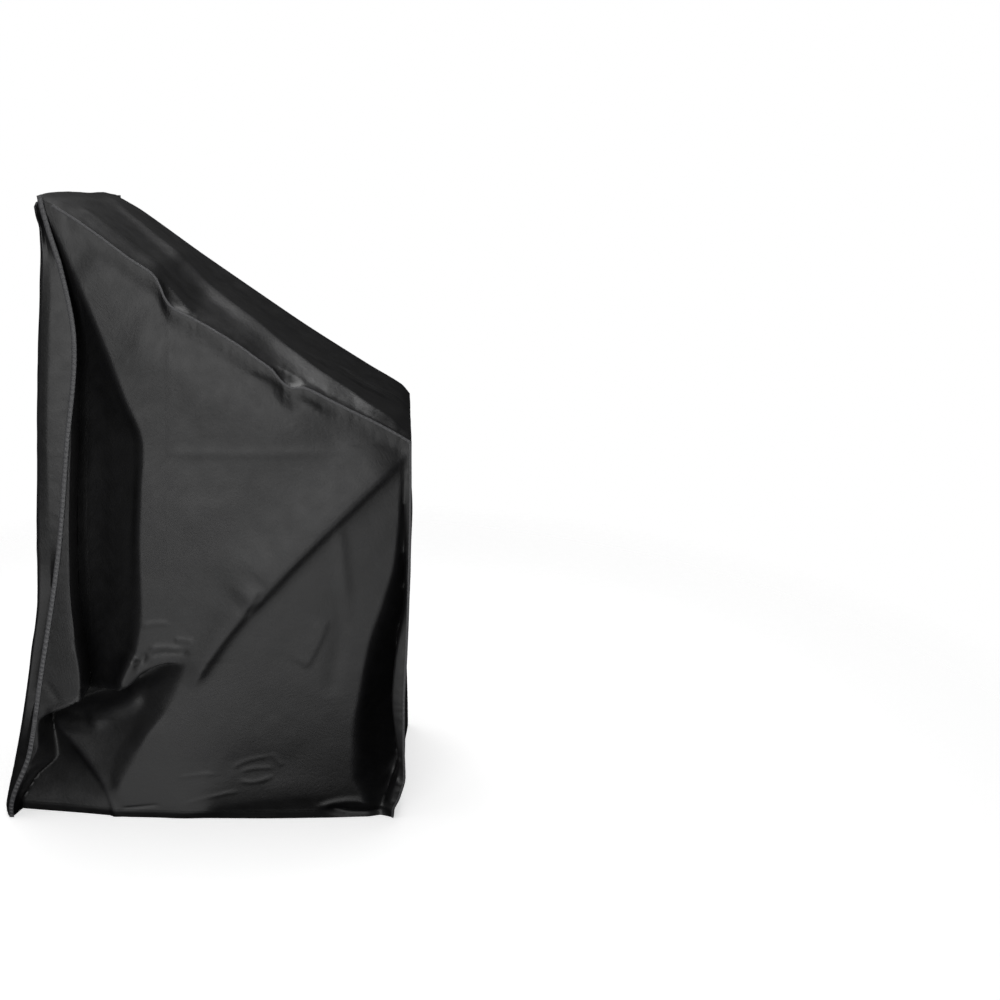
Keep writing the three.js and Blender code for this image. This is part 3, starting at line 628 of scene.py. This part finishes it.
roofShape = {
    "dips": 0.05, "ridgeSharp": 0.85, "wide": 500, "foldsNear": 0.02, "foldsFar": 0.05,
    "arch": 10, "archReach": 130, "archPower": 0.7, "archForward": 0.6,
}


def roofSurface(column, across):
    # from the near seam to the far seam at the same column; the dips of the near seam are gone a short
    # way across, cubics through the roof's lines raise it, and its front edge has an arch of
    # height * sin(pi * w)^power
    ends = []
    for side, lines, sign in (("near", nearLines, -1), ("far", farLines, 1)):
        z = topHeight(side, lines, column)
        x = columnX(lines, column, z)
        ends.append(np.stack([x, sign * flatHalf(x, z), z], axis=-1))
    w = across[None, :, None]
    points = ends[0][:, None] * (1 - w) + ends[1][:, None] * w
    x, w = points[..., 0], across[None, :]
    dips, inside = (readOff(sag, "fall", ends[0][:, :1], "x") for sag in (nearSag, nearSagInside))
    points[..., 2] += (dips - inside) * (1 - w) * ease(w / roofShape["dips"])
    level = np.zeros(x.shape)
    places, rises = ([level] + [readOff(line, key, x, "x") for line in roofLines.values()]
                     for key in ("w", "up"))
    sharp = [0, *(roofShape["ridgeSharp"] * (name == "ridge") for name in roofLines), 0]
    points[..., 2] += cubicThrough(
        np.stack(places + [level + 1]), np.stack(rises + [level]), w + level, sharp)
    calm = ease(w / roofShape["foldsNear"]) * ease((1 - w) / roofShape["foldsFar"])
    points[..., 2] += calm * foldSum(roofFolds, x, w * roofShape["wide"] + level)
    behind = ease((cut["frontTop"] + roofShape["archReach"] - x) / roofShape["archReach"])
    arch = roofShape["arch"] * np.sin(np.pi * w) ** roofShape["archPower"] * behind
    points[..., 2] += arch
    points[..., 0] -= roofShape["archForward"] * arch
    return points


roofAcross = np.linspace(0, 1, grids["roofCells"] + 1)
roof = roofSurface(sideColumns(), roofAcross)
roofCalm = ease(np.minimum(roofAcross, 1 - roofAcross) / calmOver["roofShare"])
roofHigh = waves(roof[..., 0], roof[..., 1], seeds["roof"], roofCalm)
roofHigh = roofHigh + pucker(
    roof[..., 0] * slope, (roofAcross * roofShape["wide"])[None, :], seeds["roofPucker"])
roof = facing(roof, (0.4, 0, 1))
if roof[0, 0, 0] >= roof[-1, 0, 0]:
    roofHigh = roofHigh[::-1]
roof = roof + normalsOf(roof) * roofHigh[..., None]


def withRelief(points, side):
    # the front or the back moved along its normals by waves, hem and puckers, calm at its seams
    off = runLength(points, 0)
    off = np.minimum(off, off[-1:] - off)
    calm = ease(off / calmOver["rim"])
    high = waves(points[..., 1], points[..., 2], seeds[side], calm) + hemRelief(points[..., 2])
    high = high + pucker(points[..., 2], off, seeds[side] + 2)
    return points + normalsOf(points) * high[..., None]


# shares of the way across between which the front has folds and over which they set in, and shares
# of the height from which and over which the front merges into the roof
frontShape = {"folds": (0.2, 0.82, 0.1), "merge": (0.985, 0.015)}


def frontSurface(across, rows):
    # cubic across the front through twelve lines: seam, crease, corner, the hollow middle, corner,
    # seam; just under the roof it merges into the roof's front edge
    rim = roofSurface(np.zeros(1), across)[0]
    z = rowHeights(rim[:, 2], rows)
    at = lambda table, key: readOff(table, key, z)
    seamX, farX = at(nearLines["seam"], "x"), at(farLines["seam"], "x")
    edgeX, edgeIn = at(nearEdge, "x"), at(nearEdge, "drawn")
    tuck = at(nearEdge, "tuck")
    backX, backIn = at(farEdge, "x"), at(farEdge, "drawn")
    half = flatHalf(cut["frontTop"], z)
    middle = mix(edgeX, backX, 0.5) + at(frontHollow, "drawn")
    # share of the way across, sharpness, place along the cover and place across it
    shares, sharp, xs, ys = zip(
        (0, 0, seamX, -flatHalf(seamX, z)),
        (0.1, 0.5, at(nearCrease, "x"), -half + at(nearCrease, "drawn")),
        (0.17, 1, edgeX + 5, -half + tuck),
        (0.19, 1, edgeX, -half + tuck + 7),
        (0.24, 0.5, edgeX + 0.15 * edgeIn, -half + edgeIn),
        (0.36, 0, mix(edgeX, middle, 0.5), -0.4 * half),
        (0.52, 0, middle, np.zeros(z.shape)),
        (0.68, 0, mix(backX, middle, 0.5), 0.4 * half),
        (0.8, 0, backX, half - backIn),
        (0.87, 0, backX + 0.3 * backIn, half - 0.2 * backIn),
        (0.92, 0, mix(backX, farX, 0.55), half - 2),
        (1, 0, farX, flatHalf(farX, z)))
    where = np.broadcast_to(across[:, None], z.shape)
    x = cubicThrough(shares, np.stack(xs), where, sharp)
    y = cubicThrough(shares, np.stack(ys), where, sharp)
    top = rim[:, 2:3]
    (first, last, fade), (start, over) = frontShape["folds"], frontShape["merge"]
    inner = ease((where - first) / fade) * ease((last - where) / fade)
    inner = inner * ease((top - z) / cut["calmUnderRoof"])
    merge = ease((z / top - start) / over)
    x = mix(x - inner * foldSum(frontFolds, y, z), rim[:, 0:1], merge)
    y = mix(y, rim[:, 1:2], merge)
    return np.stack([x, y, z], axis=-1)


frontAcross = np.linspace(0, 1, grids["frontCells"] + 1)
front = frontSurface(frontAcross, grids["rows"])
front = facing(front, (-1, 0, 0))
front = withRelief(front, "front")


def backSurface(across, rows):
    # straight across between the two back seams, with a bulge and folds that fade to the sides
    rim = roofSurface(np.full(1, lastColumn), across)[0]
    z = rowHeights(rim[:, 2], rows)
    ends = [[readOff(lines["back"], key, z) for key in ("x", "drawn")]
            for lines in (nearLines, farLines)]
    rest = ease((rim[:, 2:3] - z) / cut["calmUnderRoof"])
    ys = [sign * (flatHalf(x, z) - drawn * rest) for (x, drawn), sign in zip(ends, (-1, 1))]
    w = across[:, None]
    x, y = mix(ends[0][0], ends[1][0], w), mix(ys[0], ys[1], w)
    calm = np.sin(np.pi * w) * rest
    x = x + calm * (readOff(backBulge, "out", z) + foldSum(backFolds, y, z))
    return np.stack([x, y, z], axis=-1)


backAcross = np.linspace(0, 1, grids["backCells"] + 1)
back = facing(backSurface(backAcross, grids["backRows"]), (1, 0, 0))
back = withRelief(back, "back")

for name, points in (("side_near", near), ("side_far", far), ("roof_panel", roof),
                     ("front_panel", front), ("back_panel", back)):
    uv = np.stack([runLength(points, 0), runLength(points, 1)], axis=-1)
    panels[name] = sheetMesh(name + "_cloth", points, cut["thick"], uv, rubOf(points))


# Bindings and stitches

print("bindings and stitches")
tape = {
    "wide": {"front": 12, "roof": 6}, "thick": 2.4, "over": 1, "lift": 0.6, "step": 1.5, "sides": 14,
    "flatPower": 0.7, "fullPower": 0.6,
    "beadLong": 12, "beadHigh": {"front": 1.3, "roof": 0.5}, "beadPower": 1.5, "beadPinch": 0.05,
    "drift": 2.5, "driftSize": 40, "beadMean": 0.75, "beadVary": 0.45, "varySize": 60,
    "ear": {"near": 3, "far": 0}, "earLean": 0.3, "roofStart": -277,
    "inside": 0.9, "inward": 20, "roofPoints": 160, "lipPoints": 12,
}
stitch = {
    "long": 3.2, "pitch": 4.2, "thick": 0.5, "inset": 2.4, "sides": 6, "down": 0.35,
    "onTape": 0.2, "onHem": 0.15, "hemHeight": 20,
    "shape": [(-0.5, 0.45), (-0.32, 1.0), (0.32, 1.0), (0.5, 0.45)],  # place along, share of the radius
}


def resampled(path, step):
    # points at even distances along a path
    run = runLength(path, 0)
    at = np.arange(0, run[-1], step)
    return np.stack([np.interp(at, run, path[:, k]) for k in range(path.shape[1])], axis=-1)


def unit(vectors):
    return vectors / np.maximum(np.linalg.norm(vectors, axis=-1, keepdims=True), 1e-12)


def signedPower(value, power):
    return np.sign(value) * np.abs(value) ** power


def bandFrame(path, towards, outward, flat):
    # directions along a path, across it into the panel and out of the panel's face
    along = unit(np.gradient(path, axis=0))
    out = np.broadcast_to([0.0, outward, 0.0], path.shape)
    if not flat:
        out = np.cross(along, towards)
        out = out * np.sign(out[:, 1:2]) * outward
    out = unit(out - (out * along).sum(axis=-1, keepdims=True) * along)
    across = np.cross(along, out)
    return along, across * np.sign((across * towards).sum(axis=-1, keepdims=True)), out


def tubeFaces(at):
    # the quads round one tube or many, from the numbers of their points ring by ring
    after = np.roll(at, -1, axis=-1)
    return np.stack([at[..., :-1, :], after[..., :-1, :], after[..., 1:, :], at[..., 1:, :]],
                    axis=-1).reshape(-1, 4)


def capCorners(m):
    # the corners of the quads that close a ring of m points, each between opposite sides
    k = np.arange(m // 2 - 1)
    return np.stack([k, k + 1, m - 2 - k, m - 1 - k], axis=-1)


def tapePiece(name, edge, inner, outward, flat, seed):
    # the section is a rounded flat band: place = half |cos a|^0.7, rise = deep |sin a|^0.6, each with
    # its sign; beads of (0.5 + 0.5 cos turn)^1.5 along it swell its outer half
    both = resampled(np.concatenate([edge, inner - edge], axis=1), tape["step"])
    path, towards = both[:, :3], both[:, 3:]
    along, across, out = bandFrame(path, towards, outward, flat)
    run = np.arange(len(path)) * tape["step"]
    drift = tape["drift"] * softNoise(run, 0, tape["driftSize"], seed)
    turn = 2 * np.pi * run / tape["beadLong"] + drift
    size = tape["beadMean"] + tape["beadVary"] * softNoise(run, 9, tape["varySize"], seed + 1)
    bead = ((0.5 + 0.5 * np.cos(turn)) ** tape["beadPower"] * size)[:, None]
    a = 2 * np.pi * np.arange(tape["sides"]) / tape["sides"]
    seam = "front" if flat else "roof"
    half, deep = tape["wide"][seam] / 2, tape["thick"] / 2
    place = half * signedPower(np.cos(a), tape["flatPower"]) * (1 - tape["beadPinch"] * bead)
    rise = deep * signedPower(np.sin(a), tape["fullPower"])
    rise = rise + tape["beadHigh"][seam] * bead * np.maximum(np.sin(a), 0)
    middle = half - tape["over"]
    lift = cut["thick"] / 2 + tape["lift"] + deep
    verts = (path[:, None] + across[:, None] * (place + middle)[..., None]
             + out[:, None] * (rise + lift)[..., None])
    n, m = verts.shape[:2]
    cap = capCorners(m)
    walls = tubeFaces(np.arange(n * m).reshape(n, m))
    faces = np.concatenate([walls, cap[:, ::-1], cap + (n - 1) * m])
    uvs = np.stack(np.broadcast_arrays(place + half, run[:, None]), axis=-1).reshape(-1, 2)
    if (np.cross(across[0], out[0]) @ along[0]) < 0:
        faces = faces[:, ::-1]
    piece = meshObject(name, placed(verts.reshape(-1, 3)), faces, uvs)
    sewn = path + across * (tape["wide"][seam] - tape["over"] - stitch["inset"])
    return piece, sewn + out * (lift + deep + stitch["onTape"])


def threadMesh(name, paths):
    # one stitch is a round bar with tapered ends, let down a little at both; all are one mesh
    around = 2 * np.pi * np.arange(stitch["sides"]) / stitch["sides"]
    verts, faces = [], []
    for path, outward in paths:
        here = resampled(path, stitch["pitch"])
        along = unit(np.gradient(here, axis=0))
        out = unit(np.broadcast_to(outward, here.shape))
        across = unit(np.cross(along, out))
        out = np.cross(across, along)
        for share, wide in stitch["shape"]:
            centre = here + along * share * stitch["long"] - out * stitch["down"] * (wide < 1)
            radius = stitch["thick"] / 2 * wide
            verts.append(np.stack([centre + radius * (np.cos(b) * across + np.sin(b) * out)
                                   for b in around], axis=1))
    blocks, count = [], 0
    rings = len(stitch["shape"])
    for start in range(0, len(verts), rings):
        block = np.stack(verts[start:start + rings], axis=1)
        n, r, m = block.shape[:3]
        at = count + np.arange(n * r * m).reshape(n, r, m)
        faces.append(tubeFaces(at))
        for end in (0, r - 1):
            for corners in capCorners(m):
                cap = at[:, end][:, corners]
                faces.append(cap if end else cap[:, ::-1])
        blocks.append(block.reshape(-1, 3))
        count += n * r * m
    verts = placed(np.concatenate(blocks))
    return meshObject(name, verts, np.concatenate(faces), np.zeros((len(verts), 2)))


def sideEdges(side, lines, folds):
    # the front edge of a side with the line of points inside it, and the edge along roof and back
    outward = -1 if side == "near" else 1
    edge, inner = sideSurface(side, lines, folds, np.array([0.0, tape["inside"]]), grids["rows"])[0]
    ear = tape["ear"][side]
    edge = np.concatenate([edge, edge[-1:] + (-tape["earLean"] * ear, 0, ear)])
    inner = np.concatenate([inner, inner[-1:]])
    column = np.concatenate([np.linspace(2, 3, tape["roofPoints"])[:-1],
                             np.linspace(3, lastColumn, tape["lipPoints"])])
    z = topHeight(side, lines, column)
    x = columnX(lines, column, z)
    top = np.stack([x, outward * flatHalf(x, z), z], axis=-1)[x > tape["roofStart"]]
    last = np.array([lastColumn])
    down = sideSurface(side, lines, folds, last, grids["rows"])[0][0][::-1]
    under = np.concatenate([top - (0, 0, tape["inward"]), down - (tape["inward"], 0, 0)])
    return edge, inner, np.concatenate([top[:-1], down]), np.delete(under, len(top) - 1, axis=0)


bands, seams = {}, []
for side, lines, folds, outward in (("near", nearLines, nearFolds, -1), ("far", farLines, farFolds, 1)):
    edge, inner, rim, under = sideEdges(side, lines, folds)
    for name, path, within, flat in (("front_binding_" + side, edge, inner, True),
                                     ("roof_back_binding_" + side, rim, under, False)):
        seed = seeds["tape"] + len(seams)
        bands[name], sewn = tapePiece(name + "_tape", path, within, outward, flat, seed)
        seams.append((sewn, (0, outward, 0)))
bindingStitches = threadMesh("binding_stitches", seams)
hemRow = grids["hemRows"].index(stitch["hemHeight"])
hems = []
for points in (near, far, front, back):
    normal = unit(normalsOf(points)[:, hemRow])
    sewn = points[:, hemRow] + normal * (cut["thick"] / 2 + stitch["onHem"])
    hems.append((sewn, normal.mean(axis=0)))
hemStitches = threadMesh("hem_stitches", hems)


# Materials

def srgb(code):
    # sRGB hex colour turned to linear: c / 12.92 where dark, else ((c + 0.055) / 1.055)^2.4
    parts = [int(code[i:i + 2], 16) / 255 for i in (1, 3, 5)]
    return tuple(c / 12.92 if c <= 0.04045 else ((c + 0.055) / 1.055) ** 2.4 for c in parts) + (1,)


def addNode(tree, kind, settings=None, links=None):
    # one node with its settings, by property or socket name, and the nodes or outputs that feed it
    node = tree.nodes.new("ShaderNode" + kind)
    for key, value in (settings or {}).items():
        if isinstance(key, str) and hasattr(node, key):
            setattr(node, key, value)
        else:
            node.inputs[key].default_value = value
    for key, source in (links or {}).items():
        output = source.outputs[0] if isinstance(source, bpy.types.Node) else source
        tree.links.new(output, node.inputs[key])
    return node


def ranged(tree, source, low, high, least, most):
    # least where the source is low or lower, most where it is high or higher, linear between
    return addNode(tree, "MapRange", {
        "From Min": low, "From Max": high, "To Min": least, "To Max": most}, {"Value": source})


def threadWave(tree, uv, way, wide):
    # bands along X or Y, one per thread of that width in mm; at scale 1 a band is 0.314 m wide
    return addNode(tree, "TexWave", {
        "bands_direction": way, "Scale": 0.314 / (wide * mm)}, {"Vector": uv}).outputs["Fac"]


def bumped(tree, height, bump, links=None):
    # a bump of that strength and depth in metres
    return addNode(tree, "Bump", {"Strength": bump[0], "Distance": bump[1]},
                   {"Height": height, **(links or {})})


def emptyTree(owner):
    owner.use_nodes = True
    owner.node_tree.nodes.clear()
    return owner.node_tree


def newMaterial(name, shader):
    # a material of one principled surface with those settings
    material = bpy.data.materials.new(name)
    tree = emptyTree(material)
    surface = addNode(tree, "BsdfPrincipled", shader)
    addNode(tree, "OutputMaterial", links={"Surface": surface})
    return material, tree, surface


clothLook = {
    "colour": "#080809", "worn": "#101012", "wornMost": 0.6, "mottleMost": 0.35, "mottleScale": 28,
    "roughness": 0.44, "roughnessVary": 0.03, "ior": 1.53,
    "crumpleScale": 90, "crumpleTwist": 0.6, "crumpleBump": (0.5, 0.0007), "weaveBump": (0.3, 0.0001),
    "thread": 1.6,  # mm; the real 0.4 mm thread is too fine to show and is drawn this coarse
}


def wovenNylonOxford():
    # black nylon oxford, woven and coated: an even dark cloth with a soft gloss, faint mottling
    # where the coating is uneven, and crests rubbed a little lighter
    look = clothLook
    rough, vary = look["roughness"], look["roughnessVary"]
    material, tree, surface = newMaterial("wovenNylonOxford", {"IOR": look["ior"], "Roughness": rough})
    uv = addNode(tree, "UVMap", {"uv_map": "cloth"})
    warp, weft = (threadWave(tree, uv, way, look["thread"]) for way in "XY")
    weave = addNode(tree, "Math", {"operation": "MULTIPLY"}, {0: warp, 1: weft})
    mottle = addNode(tree, "TexNoise", {"Scale": look["mottleScale"], "Detail": 3}, {"Vector": uv})
    crumple = addNode(tree, "TexNoise", {
        "Scale": look["crumpleScale"], "Detail": 2, "Distortion": look["crumpleTwist"]}, {"Vector": uv})
    rub = addNode(tree, "Attribute", {"attribute_name": "rub"}).outputs["Fac"]
    worn = ranged(tree, rub, 0.1, 0.8, 0, look["wornMost"])
    patches = ranged(tree, mottle, 0.35, 0.75, 0, look["mottleMost"])
    amount = addNode(tree, "Math", {"operation": "ADD"}, {0: worn, 1: patches})
    colour = addNode(tree, "Mix", {
        "data_type": "RGBA", 6: srgb(look["colour"]), 7: srgb(look["worn"])}, {0: amount})
    tree.links.new(colour.outputs[2], surface.inputs["Base Color"])
    gloss = ranged(tree, mottle, 0.3, 0.7, rough - vary, rough + vary)
    tree.links.new(gloss.outputs["Result"], surface.inputs["Roughness"])
    coarse = bumped(tree, crumple, look["crumpleBump"])
    fine = bumped(tree, weave, look["weaveBump"], {"Normal": coarse})
    tree.links.new(fine.outputs["Normal"], surface.inputs["Normal"])
    return material


print("materials")
cloth = wovenNylonOxford()
for name, piece in panels.items():
    piece.data.materials.append(cloth)
    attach(piece, "root")
    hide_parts(name)
# the binding's grey is partly its own tone and partly painted highlight along its rounded edge
bindingLook = {
    "colour": "#4c4c4e", "roughness": 0.4, "ior": 1.53, "rib": 1.2, "ribBump": (0.4, 0.00015),
}
threadLook = {"colour": "#161617", "roughness": 0.5, "ior": 1.53}


def wovenBindingTape():
    # black polyester binding tape, woven with fine ribs across it; its grey colour is partly the tape's
    # own slightly lighter black and partly painted highlight for the light its rounded, beaded edge
    # catches
    material, tree, surface = newMaterial("wovenBindingTape", {
        "Base Color": srgb(bindingLook["colour"]), "IOR": bindingLook["ior"],
        "Roughness": bindingLook["roughness"]})
    uv = addNode(tree, "UVMap", {"uv_map": "cloth"})
    bump = bumped(tree, threadWave(tree, uv, "Y", bindingLook["rib"]), bindingLook["ribBump"])
    tree.links.new(bump.outputs["Normal"], surface.inputs["Normal"])
    return material


def sewingThread():
    # black polyester thread, twisted
    return newMaterial("twistedSewingThread", {
        "Base Color": srgb(threadLook["colour"]), "IOR": threadLook["ior"],
        "Roughness": threadLook["roughness"]})[0]


woven, thread = wovenBindingTape(), sewingThread()
for name, piece in bands.items():
    piece.data.materials.append(woven)
    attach(piece, "root")
    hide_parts(name)
for piece in (bindingStitches, hemStitches):
    piece.data.materials.append(thread)
    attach(piece, "root")


# Floor, light and camera

studio = {
    "key": {"at": (-0.34, -3.1, 1.1), "aim": (-0.34, 0, 1.1), "size": (2.2, 2.2), "power": 41},
    "card": {"at": (0.2, -1.4, 0.01), "aim": (0.2, -1.4, 2), "size": (1.8, 1.4), "power": 8},
    "toe": {"at": (-0.17, -0.5, 0.01), "aim": (-0.17, -0.5, 2), "size": (0.34, 0.4), "power": 0.34},
    "left": {"at": (-3.0, -1.2, 1.2), "aim": (0, -0.2, 1.0), "size": (2.0, 2.4), "power": 3},
    "top": {"at": (0.1, 0.3, 3.6), "aim": (0, 0, 0.9), "size": (2.6, 2.2), "power": 80},
}


def softbox(name, at, aim, size, power):
    # a rectangle of light turned to its aim: tilt = atan2(level distance, fall), turn = atan2(-dx, dy)
    data = bpy.data.lights.new(name, "AREA")
    data.shape = "RECTANGLE"
    data.size, data.size_y = size
    data.energy = power
    light = bpy.data.objects.new(name, data)
    bpy.context.scene.collection.objects.link(light)
    direction = np.array(aim) - np.array(at)
    light.location = at
    flat = math.hypot(direction[0], direction[1])
    turn = math.atan2(-direction[0], direction[1])
    light.rotation_euler = (math.atan2(flat, -direction[2]), 0, turn)
    light.visible_camera = False


print("floor, light and camera")
for name, values in studio.items():
    softbox(name, **values)

scene = bpy.context.scene
scene.view_settings.view_transform = "Standard"

roomLook = {"light": 0.02, "seen": 1.0}
world = bpy.data.worlds.new("studioRoom")
room = emptyTree(world)
dim = addNode(room, "Background", {"Color": (1, 1, 1, 1), "Strength": roomLook["light"]})
white = addNode(room, "Background", {"Color": (1, 1, 1, 1), "Strength": roomLook["seen"]})
seen = addNode(room, "LightPath").outputs["Is Camera Ray"]
both = addNode(room, "MixShader", links={0: seen, 1: dim, 2: white})
addNode(room, "OutputWorld", links={"Surface": both})
scene.world = world

# a pale disc just under the hem, which fades out between its solid part and its radius
floorLook = {
    "radius": 2.6, "solid": 1.5, "colour": "#f4f4f4", "glow": 0.6, "lit": 0.05, "under": 0.0008,
    "sides": 96,
}
angle = np.linspace(0, 2 * np.pi, floorLook["sides"] + 1)[:-1]
ring = np.stack([np.cos(angle), np.sin(angle), np.zeros(len(angle))], axis=-1) * floorLook["radius"]
ring = ring - np.array([0, 0, floorLook["under"]])
floorMesh = bpy.data.meshes.new("floor")
floorMesh.from_pydata([tuple(p) for p in ring], [], [tuple(range(floorLook["sides"]))])
floor = bpy.data.objects.new("floor", floorMesh)
scene.collection.objects.link(floor)
floorMaterial = bpy.data.materials.new("paleFloor")
tree = emptyTree(floorMaterial)
place = addNode(tree, "TexCoord").outputs["Object"]
away = addNode(tree, "VectorMath", {"operation": "LENGTH"}, {0: place}).outputs["Value"]
fade = ranged(tree, away, floorLook["solid"], floorLook["radius"], 0, 1)
pale = addNode(tree, "BsdfDiffuse", {"Color": srgb(floorLook["colour"])})
clear = addNode(tree, "BsdfTransparent")
dark = addNode(tree, "BsdfDiffuse", {"Color": (floorLook["lit"],) * 3 + (1,)})
seen = addNode(tree, "LightPath").outputs["Is Camera Ray"]
glow = addNode(tree, "Emission", {"Color": (1, 1, 1, 1), "Strength": floorLook["glow"]})
bright = addNode(tree, "AddShader", links={0: pale, 1: glow})
shown = addNode(tree, "MixShader", links={0: seen, 1: dark, 2: bright})
mixed = addNode(tree, "MixShader", links={0: fade, 1: shown, 2: clear})
addNode(tree, "OutputMaterial", links={"Surface": mixed})
floorMesh.materials.append(floorMaterial)

# place in metres, tilt and turn in degrees, lens and sensor in mm; solved on the photo's corners
view = {
    "at": (0.615, -2.887, 1.567), "tilt": 74.1, "turn": 3.04, "lens": 43.2, "sensor": 36, "shift": 0.1,
}
cameraData = bpy.data.cameras.new("camera")
cameraData.lens = view["lens"]
cameraData.sensor_width = view["sensor"]
cameraData.shift_x = view["shift"]
camera = bpy.data.objects.new("camera", cameraData)
scene.collection.objects.link(camera)
camera.location = view["at"]
camera.rotation_euler = (math.radians(view["tilt"]), 0, math.radians(view["turn"]))
scene.camera = camera

bpy.context.view_layer.update()
